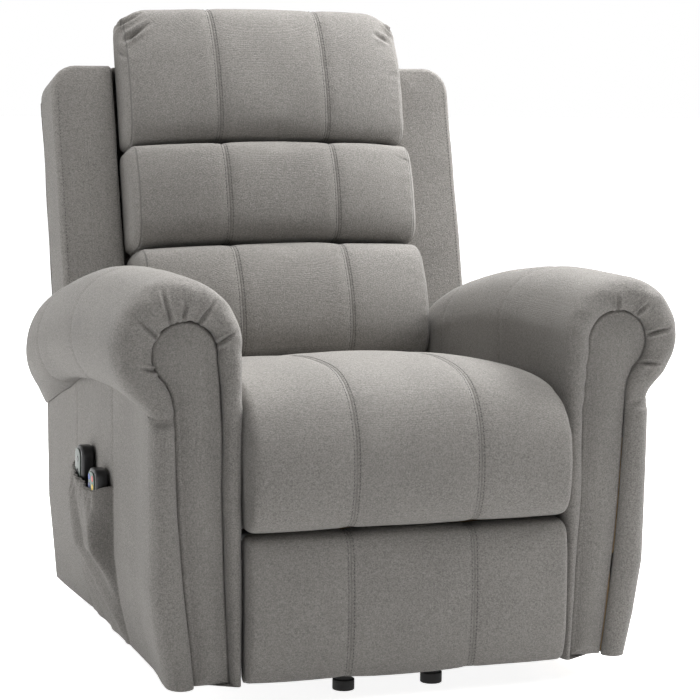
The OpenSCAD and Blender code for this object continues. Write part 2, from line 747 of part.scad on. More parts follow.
// Footrest
module foot_rear_links() {
    color(steel) both() {
        plate(foot_lane1, plate_t) difference() {
            strap(foot_p, foot_e, foot_eye_r);
            hole(foot_p, pin_r + run);
        }
        pin(foot_lane2 - 0.5, foot_lane1, foot_e, pin_r);
        pin(foot_lane2 - 1.8, foot_lane2 - 0.5, foot_e, pin_r + 3);
    }
}
module foot_front_links() {
    color(steel) both() {
        plate(foot_lane2, plate_t) difference() {
            strap(foot_e, foot_q, foot_eye_r - 1);
            hole(foot_e, pin_r + run);
        }
        pin(foot_lane3 - 1, foot_lane2, foot_q, pin_r);
    }
}
module footrest_brackets() {
    y1 = foot_back_y + foot_board_t;
    color(steel) both() plate(foot_lane3, plate_t) difference() {
        union() {
            hole(foot_q, foot_eye_r);
            bar([y1, foot_q[1]], foot_q, foot_eye_r - waist);
            translate([y1, foot_q[1] - 60]) square([5, 130]);
        }
        hole(foot_q, pin_r + run);
    }
}
module footrest_board() {
    color(wood) block(-foot_half + 10, foot_half - 10, foot_back_y, foot_back_y + foot_board_t,
        floor_gap + 14, foot_top_z - 14);
}
module footrest_pad() {
    color(cloth) cushion(pad_profile(foot_face_y, foot_back_y - fit, floor_gap, foot_top_z, 3.4), foot_half, 26);
}

base_side_rails();
base_cross_tubes();
base_feet();
lift_brackets();
lift_anchor();
power_supply();
lift_shaft();
lift_arms();
control_links();
lift_actuator();
lift_rod();
chassis_side_plates();
chassis_cross_tubes();
recline_anchor();
seat_front_board();
seat_rear_rail();
seat_springs();
seat_cushion();
massage_control_box();
arm_bolts();
arm_frames();
arm_roll_left();
arm_roll_right();
arm_inner_pads();
arm_panel_left();
arm_panel_right();
arm_front_borders();
arm_scroll_panels();
remote_pocket();
rear_skirt();
recline_actuator();
recline_rod();
back_posts();
back_rails();
back_hinge_plates();
back_hinge_pins();
recline_lever();
back_webbing();
massage_motors();
back_wings();
rear_cover();
head_pillow();
mid_pillow();
lumbar_pillow();
foot_rear_links();
foot_front_links();
footrest_brackets();
footrest_board();
footrest_pad();
lift_handset_case();
lift_handset_face();
lift_up_button();
lift_down_button();
massage_handset_case();
massage_handset_face();
massage_keys_red();
massage_keys_yellow();
massage_keys_blue();
massage_keys_navy();
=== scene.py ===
import json
import math

import bpy
import numpy as np
from mathutils import Matrix, Vector, noise
from mathutils.bvhtree import BVHTree


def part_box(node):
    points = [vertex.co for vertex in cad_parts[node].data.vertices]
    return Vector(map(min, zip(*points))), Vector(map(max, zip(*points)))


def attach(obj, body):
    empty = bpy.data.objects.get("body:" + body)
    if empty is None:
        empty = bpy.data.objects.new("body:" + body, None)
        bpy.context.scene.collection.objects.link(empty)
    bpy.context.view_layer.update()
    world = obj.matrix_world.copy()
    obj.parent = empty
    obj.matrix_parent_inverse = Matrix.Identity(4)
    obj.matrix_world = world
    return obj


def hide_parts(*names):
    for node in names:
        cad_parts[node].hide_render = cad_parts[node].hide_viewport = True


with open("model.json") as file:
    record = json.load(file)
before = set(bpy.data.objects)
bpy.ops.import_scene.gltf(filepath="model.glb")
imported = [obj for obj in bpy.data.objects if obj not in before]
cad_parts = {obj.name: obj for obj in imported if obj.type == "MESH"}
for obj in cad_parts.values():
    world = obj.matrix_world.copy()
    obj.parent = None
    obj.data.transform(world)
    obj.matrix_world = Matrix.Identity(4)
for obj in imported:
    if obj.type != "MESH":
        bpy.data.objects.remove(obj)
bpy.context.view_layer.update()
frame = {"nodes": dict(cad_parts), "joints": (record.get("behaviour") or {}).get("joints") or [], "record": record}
nodes = frame["nodes"]
bpy.ops.object.select_all(action="DESELECT")
scene = bpy.context.scene

# The studio: a white floor that keeps the chair's soft shadow, a white
# surround, and five large soft lamps, one of them straight overhead. The
# camera stands where the photograph was taken from.
scene.view_settings.view_transform = "Standard"
IMAGE = 700
FOCAL_PX, CENTRE_PX = 2281.3, (353.5, 350.0)
turn, dip, roll = math.radians(-19.299), math.radians(7.358), math.radians(0.705)
eye = Vector((-1.1889, -3.5697, 0.9637))
back_dir = Vector((math.sin(turn) * math.cos(dip), -math.cos(turn) * math.cos(dip), math.sin(dip)))
level = Vector((math.cos(turn), math.sin(turn), 0))
rise = level.cross(-back_dir)
cam_right = math.cos(roll) * level + math.sin(roll) * rise
cam_up = -math.sin(roll) * level + math.cos(roll) * rise
lens = bpy.data.cameras.new("camera")
lens.sensor_fit, lens.sensor_width = "HORIZONTAL", 36
lens.lens = lens.sensor_width * FOCAL_PX / IMAGE
lens.shift_x = (IMAGE / 2 - CENTRE_PX[0]) / IMAGE
camera = bpy.data.objects.new("camera", lens)
camera.matrix_world = Matrix.Translation(eye) @ Matrix((cam_right, cam_up, back_dir)).transposed().to_4x4()
scene.collection.objects.link(camera)
scene.camera = camera


def sight(u, v):
    """Direction from the camera through a point of the picture."""
    return (-back_dir + cam_right * ((u - CENTRE_PX[0]) / FOCAL_PX)
            - cam_up * ((v - CENTRE_PX[1]) / FOCAL_PX)).normalized()


def lamp(name, place, aim, size, watts):
    data = bpy.data.lights.new(name, "AREA")
    data.shape, data.size, data.energy = "DISK", size, watts
    made = bpy.data.objects.new(name, data)
    made.location = place
    made.rotation_euler = (Vector(aim) - Vector(place)).to_track_quat("-Z", "Y").to_euler()
    scene.collection.objects.link(made)


lamp("left_low", (-2.9, 0.8, 0.6), (0, 0, 0.4), 1.4, 36)
lamp("top", (0.2, 0.0, 5.0), (0, 0, 0.4), 2.0, 186)
lamp("right_high", (2.6, -0.1, 2.5), (0, 0, 0.6), 1.4, 82)
lamp("right_rear", (2.2, 1.2, 2.6), (0, 0, 0.5), 1.4, 88)
lamp("front_high", (0.2, -2.6, 3.0), (0, 0, 0.4), 1.6, 31)


class Value:
    """One number in a shader: arithmetic on it adds Math nodes."""

    def __init__(self, finish, socket):
        self.finish, self.socket = finish, socket

    def maths(self, operation, *values):
        return self.finish.node("Math", {"operation": operation}, dict(enumerate(values)))

    def __add__(self, other):
        return self.maths("ADD", self, other)

    def __sub__(self, other):
        return self.maths("SUBTRACT", self, other)

    def __rsub__(self, other):
        return self.maths("SUBTRACT", other, self)

    def __mul__(self, other):
        return self.maths("MULTIPLY", self, other)

    __radd__, __rmul__ = __add__, __mul__

    def __abs__(self):
        return self.maths("ABSOLUTE", self)

    def sine(self):
        return self.maths("SINE", self)

    def between(self, low, high):
        settings = {"interpolation_type": "SMOOTHSTEP"}
        return self.finish.node("MapRange", settings, {"Value": self, "From Min": low, "From Max": high})


class Finish:
    """A material: its shader, and one method that adds any other node."""

    def __init__(self, name, world=False, **constant):
        self.material = scene.world if world else bpy.data.materials.new(name)
        self.material.use_nodes = True
        self.tree = self.material.node_tree
        self.shader = self.tree.nodes["Background" if world else "Principled BSDF"]
        self.set({key.replace("_", " ").title(): value for key, value in constant.items()})

    def feed(self, socket, value):
        if isinstance(value, Value):
            self.tree.links.new(value.socket, socket)
        else:
            socket.default_value = value

    def set(self, sockets):
        for key, value in sockets.items():
            self.feed(self.shader.inputs[{"Ior": "IOR"}.get(key, key)], value)

    def node(self, kind, settings=None, sockets=None, out=0):
        made = self.tree.nodes.new("ShaderNode" + kind)
        for key, value in (settings or {}).items():
            setattr(made, key, value)
        for key, value in (sockets or {}).items():
            self.feed(made.inputs[key], value)
        return Value(self, made.outputs[out])

    def place(self, scale=(1, 1, 1)):
        spot = self.node("TexCoord", out=3)
        return self.node("Mapping", {}, {"Vector": spot, "Scale": scale})

    def axes(self):
        split = self.tree.nodes.new("ShaderNodeSeparateXYZ")
        self.feed(split.inputs[0], self.node("TexCoord", out=3))
        return [Value(self, socket) for socket in split.outputs]

    def speckle(self, scale, detail=2.0, stretch=(1, 1, 1)):
        return self.node("TexNoise", {}, {"Vector": self.place(stretch), "Scale": scale, "Detail": detail})

    def tint(self, amount, low, high):
        """A colour between two colours."""
        return self.node("Mix", {"data_type": "RGBA"}, {0: amount, 6: (*low, 1), 7: (*high, 1)}, 2)

    def direct(self):
        """1 where the camera looks, also in a mirror or through glass, else 0."""
        path = self.tree.nodes.new("ShaderNodeLightPath")
        seen = [Value(self, path.outputs[f"Is {ray} Ray"]) for ray in ("Camera", "Glossy", "Transmission")]
        return (seen[0] + seen[1] + seen[2]).between(0, 1)

    def emboss(self, height, depth, strength=1.0):
        bump = self.node("Bump", {}, {"Height": height, "Distance": depth, "Strength": strength})
        self.set({"Normal": bump})


if scene.world is None:
    scene.world = bpy.data.worlds.new("surround")
surround = Finish("surround", world=True)
AMBIENT = 0.03
surround.set({"Color": (1, 1, 1, 1), "Strength": surround.direct() * (1 - AMBIENT) + AMBIENT})

bpy.ops.mesh.primitive_plane_add(size=60)
floor = bpy.context.object
floor.name = "floor"
white = Finish("white_floor", base_color=(0.84, 0.84, 0.84, 1), roughness=0.9, emission_color=(1, 1, 1, 1))
x, y, z = white.axes()
# Painted shade: the floor's glow falls to 0.8 of its strength within about 1.4 m of the chair, so the floor round
# the chair is darker.
far = (x * x + y * y).between(0.3, 2.0) * 0.2 + 0.8
GLOW = 1.12
white.set({"Emission Strength": white.direct() * GLOW, "Emission Color": white.tint(far, (0, 0, 0), (1, 1, 1))})
floor.data.materials.append(white.material)

# The base stands on the floor: square tubes and brackets of black powder
# coated steel, welded up. The same coat is on every plate and link of the
# lift, the seat frame and the footrest.
coat = Finish("black_powder_coat")
grit = coat.speckle(900, 3)
worn = coat.speckle(14, 4).between(0.45, 0.75)
coat.set({"Base Color": coat.tint(worn, (0.022, 0.022, 0.024), (0.05, 0.05, 0.053)),
          "Roughness": 0.42 + worn * 0.22})
coat.emboss(grit, 0.0004, 0.5)

zinc = Finish("zinc_plate", metallic=1.0)
drawn = zinc.speckle(60, 3, (1, 20, 1))
zinc.set({"Base Color": zinc.tint(drawn, (0.46, 0.47, 0.48), (0.66, 0.66, 0.64)),
          "Roughness": 0.26 + drawn * 0.2})
zinc.emboss(drawn, 0.0002, 0.4)

ply = Finish("plywood")
grain = ply.speckle(22, 6, (1, 6, 6))
x, y, z = ply.axes()
plies = ((x + y + z) * 2100 + grain * 5).sine() * 0.5 + 0.5
ply.set({"Base Color": ply.tint(grain * 0.7 + plies * 0.3, (0.36, 0.23, 0.11), (0.66, 0.48, 0.29)),
         "Roughness": 0.55 + grain * 0.25})
ply.emboss(grain, 0.0005, 0.5)

moulded = Finish("moulded_black")
spark = moulded.speckle(1400, 2)
moulded.set({"Base Color": moulded.tint(spark, (0.012, 0.012, 0.013), (0.03, 0.03, 0.032)),
             "Roughness": 0.45 + spark * 0.2})
moulded.emboss(spark, 0.0003, 0.5)

strap_web = Finish("elastic_webbing")
x, y, z = strap_web.axes()
ribs = (x * 2600).sine() * (z * 1900).sine() * 0.5 + 0.5
strap_web.set({"Base Color": strap_web.tint(ribs, (0.02, 0.02, 0.022), (0.08, 0.08, 0.085)),
               "Roughness": 0.8 + ribs * 0.15})
strap_web.emboss(ribs, 0.0006, 0.8)

SLOT_FINISH = {"frame_steel": coat, "bright_steel": zinc, "frame_wood": ply,
               "black_plastic": moulded, "webbing": strap_web}
for row in frame["record"]["subparts"]:
    finish = SLOT_FINISH.get(row["material_slot"])
    if finish:
        nodes[row["node"]].data.materials.clear()
        nodes[row["node"]].data.materials.append(finish.material)


# Feet: black rubber glides on short stems under the base, two in front and
# two wider ones behind, turned with a stepped rim and a dished sole.
def select_faces(piece, test):
    """Selects the faces whose centre and normal pass a test, in edit mode."""
    bpy.ops.object.mode_set(mode="OBJECT")
    for group in (piece.data.vertices, piece.data.edges, piece.data.polygons):
        group.foreach_set("select", np.zeros(len(group), bool))
    for face in piece.data.polygons:
        face.select = bool(test(face.center, face.normal))
    bpy.ops.object.mode_set(mode="EDIT")
    bpy.ops.mesh.select_mode(type="FACE")


def start(name, finish, body):
    """Names the piece just added and gives it its finish."""
    piece = bpy.context.object
    piece.name = piece.data.name = name
    piece.data.materials.clear()
    piece.data.materials.append(finish.material)
    piece["made_for"] = body
    return piece


def modify(piece, kind, **settings):
    """Adds a modifier to the piece being made and applies it."""
    made = piece.modifiers.new(kind.lower(), kind)
    for key, value in settings.items():
        setattr(made, key, value)
    bpy.ops.object.modifier_apply(modifier=made.name)


def settle(piece):
    """Puts a finished piece at the origin with its place in its mesh."""
    bpy.ops.object.mode_set(mode="OBJECT")
    bpy.ops.object.select_all(action="DESELECT")
    piece.select_set(True)
    bpy.context.view_layer.objects.active = piece
    bpy.ops.object.transform_apply(location=True, rotation=True, scale=True)
    bpy.ops.object.shade_smooth_by_angle(angle=math.radians(40))
    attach(piece, piece["made_for"])
    del piece["made_for"]
    bpy.ops.object.select_all(action="DESELECT")


rubber = Finish("foot_rubber")
scuff = rubber.speckle(120, 4)
rubber.set({"Base Color": rubber.tint(scuff, (0.008, 0.008, 0.009), (0.035, 0.034, 0.033)),
            "Roughness": 0.6 + scuff * 0.25})
rubber.emboss(scuff, 0.0005, 0.5)
foot_low, foot_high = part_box("base_feet")
SIDES = ((1, "left"), (-1, "right"))
FEET = [("foot_front", 0.072, foot_low.y + 0.017, 0.017), ("foot_rear", 0.170, foot_high.y - 0.022, 0.022)]
for name, foot_x, foot_y, foot_r in FEET:
    for hand, label in SIDES:
        bpy.ops.mesh.primitive_cylinder_add(vertices=40, radius=foot_r, depth=0.016,
                                            location=(hand * foot_x, foot_y, 0.008))
        foot = start(f"{name}_{label}", rubber, "base")
        select_faces(foot, lambda c, n: n.z > 0.9)
        bpy.ops.mesh.inset(thickness=foot_r * 0.28)
        bpy.ops.mesh.extrude_region_move(TRANSFORM_OT_translate={"value": (0, 0, 0.010)})
        select_faces(foot, lambda c, n: n.z < -0.9)
        bpy.ops.mesh.inset(thickness=foot_r * 0.3)
        bpy.ops.mesh.extrude_region_move(TRANSFORM_OT_translate={"value": (0, 0, 0.0015)})
        bpy.ops.object.mode_set(mode="OBJECT")
        modify(foot, "BEVEL", width=0.0016, segments=3, angle_limit=math.radians(50))
        settle(foot)
        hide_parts("base_feet")

# Cloth: one light warm grey linen-look weave covers the whole chair. Its
# yarns are heathered, so paler and darker slubs run both ways over a fine
# plain weave.
YARN, SEAM_X, TWIN, BOX_SEAM_X = 0.0017, 0.098, 0.0045, 0.2478


def cloth(name, seam=None, boxed=None):
    made = Finish(name, sheen_weight=0.12, sheen_roughness=0.5)
    x, y, z = made.axes()
    wx, wy, wz = ((axis * (2 * math.pi / YARN)).sine() for axis in (x, y, z))
    weave = (wx * wz + wy * wz + wx * wy) * 0.33
    warp = made.speckle(1, 2, (1000, 1000, 380))
    weft = made.speckle(1, 2, (380, 380, 1000))
    slub = made.speckle(1, 2, (210, 210, 420)) + made.speckle(1, 2, (420, 420, 190))
    mottle = made.speckle(9, 3) - 0.5
    heather_and_seam_shade = ((warp + weft) * 0.36 + slub * 0.14 + weave * 0.05 + mottle * 0.08).between(0.36, 0.64)
    relief = weave * 0.5 + heather_and_seam_shade * 0.6
    # Painted shade: the seam line is darkened by half, as shade in its groove; the two stitch rows beside it are
    # darkened by a quarter.
    if seam:
        off = abs(abs(x) - seam)
        seam_groove_shade = 1 - off.between(0.0002, 0.0012)
        rows = 1 - abs(off - TWIN).between(0.0003, 0.0013)
        heather_and_seam_shade = heather_and_seam_shade * (1 - seam_groove_shade * 0.5 - rows * 0.25)
        relief = relief - seam_groove_shade * 2.4 - rows * 1.2
    # Painted shade: a dark line along the boxed seam near a pillow's ends, as shade in the crease between its face
    # and gusset.
    if boxed:
        brim = 1 - abs(abs(x) - boxed).between(0.0004, 0.0017)
        heather_and_seam_shade = heather_and_seam_shade * (1 - brim * 0.9)
        relief = relief - brim * 2.4
    made.set({"Base Color": made.tint(heather_and_seam_shade, (0.152, 0.144, 0.134), (0.324, 0.307, 0.285)),
              "Roughness": 0.82 + weave * 0.1})
    made.emboss(relief, 0.0011, 0.6)
    return made


linen, panelled = cloth("grey_linen"), cloth("grey_linen_panelled", SEAM_X)
boxed_linen = cloth("grey_linen_boxed", SEAM_X, BOX_SEAM_X)
thread = Finish("sewing_thread", sheen_weight=0.1)
ply_twist = thread.speckle(2500, 2)
thread.set({"Base Color": thread.tint(ply_twist, (0.045, 0.043, 0.041), (0.10, 0.097, 0.093)),
            "Roughness": 0.7 + ply_twist * 0.2})

# Seat cushion: foam in a sewn cover of three panels, with a rounded nose that
# rolls down over the front board. Its panels are seamed with twin stitching,
# and its ends are boxed with a gusset.
LEAN = math.radians(15.4)
hinge = next(j for j in frame["joints"] if j["name"] == "recline")["pos_m"]
UNIT = 0.001


def even(points, count, closed=True):
    """A smooth curve through points, cut into even steps."""
    p = np.asarray(points, float)
    ring = np.vstack([p[-1], p, p[:2]]) if closed else np.vstack([2 * p[0] - p[1], p, 2 * p[-1] - p[-2]])
    t = np.linspace(0, 1, 24, endpoint=False)[:, None]
    parts = [0.5 * (2 * b + (c - a) * t + (2 * a - 5 * b + 4 * c - d) * t ** 2
                    + (3 * b - a - 3 * c + d) * t ** 3)
             for a, b, c, d in zip(ring, ring[1:], ring[2:], ring[3:])]
    line = np.vstack(parts + [p[:1] if closed else p[-1:]])
    along = np.concatenate([[0], np.cumsum(np.linalg.norm(np.diff(line, axis=0), axis=1))])
    at = np.linspace(0, along[-1], count, endpoint=not closed)
    return np.stack([np.interp(at, along, line[:, k]) for k in range(line.shape[1])], 1)


def ease(t):
    t = np.clip(t, 0, 1)
    return t * t * (3 - 2 * t)


def outward(loop):
    """Normals of a closed loop in its plane, pointing out of it."""
    d = np.roll(loop, -1, 0) - np.roll(loop, 1, 0)
    n = np.stack([d[:, 1], -d[:, 0]], 1)
    n /= np.linalg.norm(n, axis=1)[:, None]
    area = np.sum(loop[:, 0] * np.roll(loop[:, 1], -1) - np.roll(loop[:, 0], -1) * loop[:, 1])
    return n if area > 0 else -n


def cloth_mesh(name, points, faces, finish, body, closed=True):
    """A cloth piece from points and faces, its faces turned outwards."""
    mesh = bpy.data.meshes.new(name)
    mesh.from_pydata(points, [], faces)
    made = bpy.data.objects.new(name, mesh)
    scene.collection.objects.link(made)
    bpy.ops.object.select_all(action="DESELECT")
    made.select_set(True)
    bpy.context.view_layer.objects.active = made
    start(name, finish, body)
    if closed:
        bpy.ops.object.mode_set(mode="EDIT")
        bpy.ops.mesh.select_all(action="SELECT")
        bpy.ops.mesh.normals_make_consistent(inside=False)
        bpy.ops.object.mode_set(mode="OBJECT")
    return made


def loft(name, rows, finish, body):
    """A closed skin over rows of points, each row a ring."""
    rows = np.asarray(rows, float)
    m, n = rows.shape[:2]
    k, i = np.meshgrid(np.arange(m - 1), np.arange(n), indexing="ij")
    j = (i + 1) % n
    faces = np.stack([k * n + i, k * n + j, (k + 1) * n + j, (k + 1) * n + i], -1).reshape(-1, 4).tolist()
    faces += [list(range(n))[::-1], list(range((m - 1) * n, m * n))]
    return cloth_mesh(name, rows.reshape(-1, 3).tolist(), faces, finish, body)


def points_of(piece):
    co = np.empty(len(piece.data.vertices) * 3)
    piece.data.vertices.foreach_get("co", co)
    return co.reshape(-1, 3)


def normals_of(piece):
    no = np.empty(len(piece.data.vertices) * 3)
    piece.data.vertex_normals.foreach_get("vector", no)
    return no.reshape(-1, 3)


def move_points(piece, co):
    piece.data.vertices.foreach_set("co", np.ascontiguousarray(co).ravel())
    piece.data.update()


def ripple(co, size, seed):
    """Smooth unevenness from -1 to 1 at each point, about size metres across."""
    return np.array([noise.noise(Vector(p / size) + Vector((seed, seed * 2, -seed))) for p in co])


FILL_FRAMES, PRESSURE = 20, 4.0


def inflate(piece, pinned, cap):
    """Fills a sewn cover: cloth under pressure, held where it is pinned."""
    before = points_of(piece)
    held = piece.vertex_groups.new(name="held")
    for weight in (1.0, 0.55):
        held.add([int(i) for i in np.flatnonzero(np.abs(pinned - weight) < 0.01)], weight, "REPLACE")
    stuffing = piece.modifiers.new("stuffing", "CLOTH")
    s = stuffing.settings
    s.quality, s.mass, s.air_damping = 4, 0.25, 2.0
    s.tension_stiffness = s.compression_stiffness = 14
    s.shear_stiffness, s.bending_stiffness = 6, 0.6
    s.use_pressure, s.uniform_pressure_force = True, PRESSURE
    s.vertex_group_mass, s.pin_stiffness = "held", 1.0
    s.effector_weights.gravity = 0
    stuffing.point_cache.frame_start, stuffing.point_cache.frame_end = 1, FILL_FRAMES
    for tick in range(1, FILL_FRAMES + 1):
        scene.frame_set(tick)
    bpy.ops.object.modifier_apply(modifier="stuffing")
    scene.frame_set(1)
    step = points_of(piece) - before
    far = np.linalg.norm(step, axis=1)[:, None]
    move_points(piece, before + step * np.minimum(1, cap / np.maximum(far, 1e-9)))
    piece.vertex_groups.clear()


def tree_of(piece):
    return BVHTree.FromPolygons([v.co for v in piece.data.vertices],
                                [tuple(f.vertices) for f in piece.data.polygons])


def sew(name, paths, body, pitch=0.0058, dash=0.0038, thick=0.0008):
    """Rows of stitches along paths of (points, normals)."""
    verts, faces = [], []
    for line, normal in paths:
        along = np.concatenate([[0], np.cumsum(np.linalg.norm(np.diff(line, axis=0), axis=1))])
        for at in np.arange(pitch, along[-1] - pitch, pitch):
            ends = [np.array([np.interp(at + o, along, line[:, k]) for k in range(3)])
                    for o in (-dash / 2, dash / 2)]
            up = np.array([np.interp(at, along, normal[:, k]) for k in range(3)])
            side = np.cross(ends[1] - ends[0], up)
            side *= thick / max(np.linalg.norm(side), 1e-9)
            mid = (ends[0] + ends[1]) / 2 + up * thick * 0.4
            b = len(verts)
            verts += [ends[0] - up * thick * 0.3, ends[1] - up * thick * 0.3, mid + up * thick, mid - up * thick,
                      mid + side, mid - side]
            faces += [(b + s, b + p, b + q) for s, order in ((0, 1), (1, -1))
                      for p, q in [(2, 4), (4, 3), (3, 5), (5, 2)][::order]]
    settle(cloth_mesh(name, [tuple(v) for v in verts], faces, thread, body))


def trace(tree, line, normal, reach=0.06):
    """Drops a line of points onto a piece, against its normals."""
    found = []
    for p, n in zip(line, normal):
        hit = tree.ray_cast(Vector(p + n * reach), Vector(-n), reach * 2.2)
        if hit[0] is not None:
            found.append((np.array(hit[0]), np.array(hit[1])))
    return np.array([f[0] for f in found]), np.array([f[1] for f in found])


def crease(piece, ends, depth, width, ridge=0.45):
    """Presses a pleat into a piece, between two points of the picture: it is
    deepest at the first and runs out at the second."""
    tree = tree_of(piece)
    spots = np.linspace(*np.array(ends, float), 40)
    hits = [tree.ray_cast(eye, sight(*spot))[0] for spot in spots]
    line = np.array([hit for hit in hits if hit is not None])
    if len(line) < 8:
        return
    co, no = points_of(piece), normals_of(piece)
    near = np.flatnonzero(np.all((co > line.min(0) - 6 * width) & (co < line.max(0) + 6 * width), axis=1))
    gaps = np.linalg.norm(co[near][:, None] - line[None], axis=2)
    t, off = gaps.argmin(1) / (len(line) - 1), gaps.min(1) / width
    push = ridge * np.exp(-((off - 2.3) / 1.1) ** 2) - np.exp(-off ** 2)
    co[near] += no[near] * (depth * (0.35 + 0.65 * ease(t / 0.25)) * (1 - t ** 1.8) * push)[:, None]
    move_points(piece, co)


def nearest_on(loop, co):
    """Which point of a loop in side view lies nearest to each point of a piece."""
    return np.argmin(np.linalg.norm(co[:, None, 1:] - loop[None, ::4], axis=2), axis=1) * 4


CUSHION_STEP = 0.0055


def cushion(name, loop, half, body, replaced, front, bend=None, cap=0.012, edge=0.012, seed=1.0,
            gusset=None, creases=(), finish=panelled):
    """A sewn, stuffed cushion across the chair: loop is its seam line in side
    view, front the part of the loop that shows, as a share of its length, and
    bend shapes a row of it by how far across the chair it lies."""
    normal, seams = outward(loop), (-SEAM_X, SEAM_X)
    steps = np.concatenate([np.linspace(0, edge, 7), np.linspace(edge, half, 24)[1:]])
    rows = []
    for inset in np.concatenate([steps, steps[-2::-1] * -1 - 1e-9]):
        d = abs(inset)
        x = -half + d if inset >= 0 else half - d
        draw = edge * (1 - math.sqrt(max(0, 1 - (1 - min(d, edge) / edge) ** 2)))
        flat = loop - normal * draw
        rows.append(np.column_stack([np.full(len(loop), x), bend(x, flat) if bend else flat]))
    piece = loft(name, rows, finish, body)
    piece.data.remesh_voxel_size = CUSHION_STEP
    bpy.ops.object.voxel_remesh()
    co = points_of(piece)
    nearest = nearest_on(loop, co)
    share = nearest / len(loop)
    shows = (share >= front[0]) & (share <= front[1])
    seam_off = np.min([np.abs(co[:, 0] - s) for s in seams], axis=0)
    end_off = np.abs(np.abs(co[:, 0]) - (half - edge))
    facing = np.einsum("ij,ij->i", normals_of(piece)[:, 1:], normal[nearest]) > 0.35
    pinned = np.zeros(len(co))
    pinned[(end_off < 0.004) & facing & shows] = 0.55
    pinned[(seam_off < 0.0045) & facing] = 0.55
    pinned[~shows] = 1.0
    inflate(piece, pinned, cap)
    modify(piece, "SMOOTH", factor=0.5, iterations=3)
    modify(piece, "SUBSURF", levels=1, render_levels=1)
    co, no = points_of(piece), normals_of(piece)
    nearest = nearest_on(loop, co)
    facing = np.clip(np.einsum("ij,ij->i", no[:, 1:], normal[nearest]), 0, 1)
    shows = ((nearest / len(loop) >= front[0] - 0.02) & (nearest / len(loop) <= front[1] + 0.02)) * facing
    off = np.min([np.abs(co[:, 0] - s) for s in seams], axis=0)
    groove = 0.0016 * np.exp(-(off / 0.012) ** 2) + 0.0012 * np.exp(-(off / 0.003) ** 2)
    pucker = ripple(co * [0.5, 1, 1], 0.010, seed + 3) * 0.0005 * np.exp(-(off / 0.014) ** 2)
    if gusset:
        brim = np.abs(np.abs(co[:, 0]) - (half - gusset))
        groove = groove + 0.0026 * np.exp(-(brim / 0.0032) ** 2)
        pucker += ripple(co * [0.35, 1, 1], 0.013, seed) * 0.0013 * np.exp(-(brim / 0.022) ** 2)
    dimple = ripple(co, 0.11, seed + 7) * 0.0022
    co = co + no * ((dimple + pucker - groove) * shows)[:, None]
    move_points(piece, co)
    for depth, width, *ends in creases:
        crease(piece, ends, depth, width)
    tree = tree_of(piece)
    a, b = int(front[0] * len(loop)), int(front[1] * len(loop))
    paths = []
    for s in seams:
        for shift in (-TWIN, TWIN):
            line = np.column_stack([np.full(b - a, s + shift), loop[a:b]])
            face = np.column_stack([np.zeros(b - a), normal[a:b]])
            paths.append(trace(tree, line, face))
    settle(piece)
    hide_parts(replaced)
    sew(name + "_stitching", paths, body)
    return piece


SEAT_LINE = np.array([(128, 268), (129, 372), (147, 400), (150, 424), (133, 440), (96, 450), (40, 460),
                      (-100, 484), (-220, 499), (-305, 503), (-380, 496), (-438, 470), (-470, 425), (-480, 372),
                      (-478, 320), (-466, 284), (-440, 270), (-380, 268.5), (-100, 268.5)]) * UNIT


def seat_crown(x, ring):
    """The seat's top falls away towards its ends."""
    drop = (0.034 if x > 0 else 0.014) * (abs(x) / 0.255) ** 3
    high = np.clip((ring[:, 1] - 0.30) / 0.2, 0, 1)
    return np.column_stack([ring[:, 0] + 0.25 * drop * (ring[:, 0] < -0.4), ring[:, 1] - drop * high ** 1.5])


cushion("seat_cushion_cover", even(SEAT_LINE, 400), 0.2545, "chassis", "seat_cushion", (0.11, 0.66), seat_crown,
        seed=2.0)


def along_back(points):
    """Points across and up the back, in its leaning frame, as depth and height."""
    p = np.asarray(points, float)
    return np.column_stack([hinge[1] + p[:, 0] * math.cos(LEAN) + p[:, 1] * math.sin(LEAN),
                            hinge[2] - p[:, 0] * math.sin(LEAN) + p[:, 1] * math.cos(LEAN)])


# Back pillows: three fibre-filled pillows stacked up the back, each sewn in
# three panels with boxed ends. The lumbar one is the fullest, and the head
# one is gathered into pleats at its upper corners.
PILLOWS = [
    ("lumbar", 0.2565, [(56, 96), (56, 200), (56, 292), (40, 304), (0, 306), (-50, 305), (-88, 292), (-108, 245),
                        (-114, 190), (-105, 135), (-76, 103), (0, 93)]),
    ("mid", 0.2578, [(56, 312), (56, 400), (56, 474), (40, 486), (0, 488), (-40, 487), (-68, 478), (-80, 440),
                     (-82, 390), (-77, 340), (-60, 314), (-20, 308), (20, 308)]),
    ("head", 0.2560, [(56, 496), (56, 600), (54, 714), (30, 737), (-6, 737), (-34, 719), (-55, 664), (-63, 600),
                      (-62, 545), (-54, 508), (-34, 493), (0, 490), (30, 490)]),
]
CORNER_PLEATS = [(0.010, 0.004, (126, 40), (150, 22)), (0.010, 0.004, (113, 29), (143, 11)),
                 (0.008, 0.004, (391, 33), (374, 13)), (0.004, 0.004, (388, 42), (372, 33)),
                 (0.004, 0.004, (118, 50), (128, 60))]
UP_BACK = np.array([math.sin(LEAN), math.cos(LEAN)])
INTO_BACK = np.array([math.cos(LEAN), -math.sin(LEAN)])


def pillow_crown(x, ring):
    """A pillow's face falls back towards its ends, and the head pillow's
    upper corners are drawn in by their pleats."""
    spot = ring - np.array([hinge[1], hinge[2]])
    deep, high = spot @ INTO_BACK, spot @ UP_BACK
    back = 0.036 * (abs(x) / 0.256) ** 2.6 * np.clip((0.05 - deep) / 0.10, 0, 1)
    pull = 0.022 * float(ease((abs(x) - 0.198) / 0.062)) ** 1.5 * ease((high - 0.62) / 0.10)
    return ring + np.outer(back, INTO_BACK) - np.outer(pull, UP_BACK)


